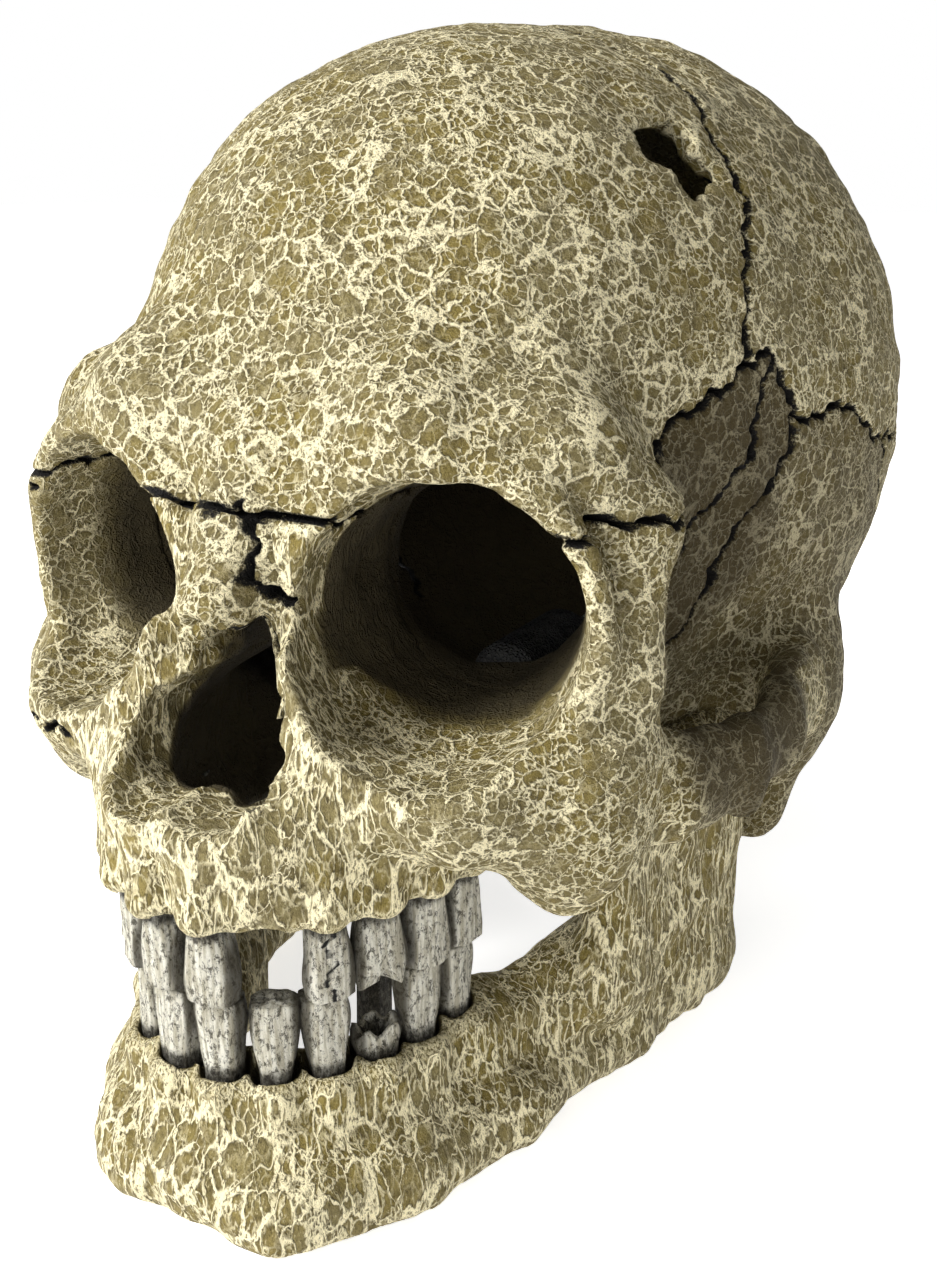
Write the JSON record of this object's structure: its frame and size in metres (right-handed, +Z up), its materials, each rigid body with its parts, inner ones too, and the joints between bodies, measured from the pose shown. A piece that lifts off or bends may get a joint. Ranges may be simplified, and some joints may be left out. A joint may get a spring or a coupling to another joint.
{
  "type": "bubbling aquarium ornament",
  "caption": "Hollow cast-resin skull with open eyes, nose and crown, fed by an air stone inside so that bubbles rise out of it.",
  "frame": {"origin": "on the surface the ornament stands on, under the middle of its box", "axes": "+Z up, -Y the way the face looks, +X the skull's own left"},
  "size_m": [0.138, 0.2085, 0.186],
  "materials": {
    "bone_resin": "matt cast polyester resin, dry-brushed",
    "tooth_resin": "matt, off-white with a dark wash",
    "black_rubber": "soft rubber",
    "clear_plastic": "smooth moulded",
    "clear_tube": "clear silicone",
    "air_stone": "sintered, porous"
  },
  "bodies": {
    "root": {"air_connector": "clear_plastic", "air_stone": "air_stone", "air_tube": "clear_tube", "broken_lower_first_premolar_left": "tooth_resin", "cheekbone_left": "bone_resin", "cheekbone_right": "bone_resin", "facial_bone": "bone_resin", "frontal_bone": "bone_resin", "inlet_grommet": "black_rubber", "lower_canine_left": "tooth_resin", "lower_central_incisor_left": "tooth_resin", "lower_central_incisor_right": "tooth_resin", "lower_first_premolar_right": "tooth_resin", "lower_jaw": "bone_resin", "lower_lateral_incisor_left": "tooth_resin", "lower_lateral_incisor_right": "tooth_resin", "lower_molar_left": "tooth_resin", "lower_molar_right": "tooth_resin", "lower_second_premolar_left": "tooth_resin", "lower_second_premolar_right": "tooth_resin", "nasal_bones": "bone_resin", "occipital_bone": "bone_resin", "parietal_bone": "bone_resin", "sphenoid_left": "bone_resin", "sphenoid_right": "bone_resin", "stone_stem": "clear_plastic", "temporal_bone_left": "bone_resin", "temporal_bone_right": "bone_resin", "upper_canine_left": "tooth_resin", "upper_canine_right": "tooth_resin", "upper_central_incisor_left": "tooth_resin", "upper_central_incisor_right": "tooth_resin", "upper_first_premolar_left": "tooth_resin", "upper_first_premolar_right": "tooth_resin", "upper_lateral_incisor_right": "tooth_resin", "upper_molar_left": "tooth_resin", "upper_molar_right": "tooth_resin", "upper_second_premolar_left": "tooth_resin", "upper_second_premolar_right": "tooth_resin"}
  },
  "joints": []
}
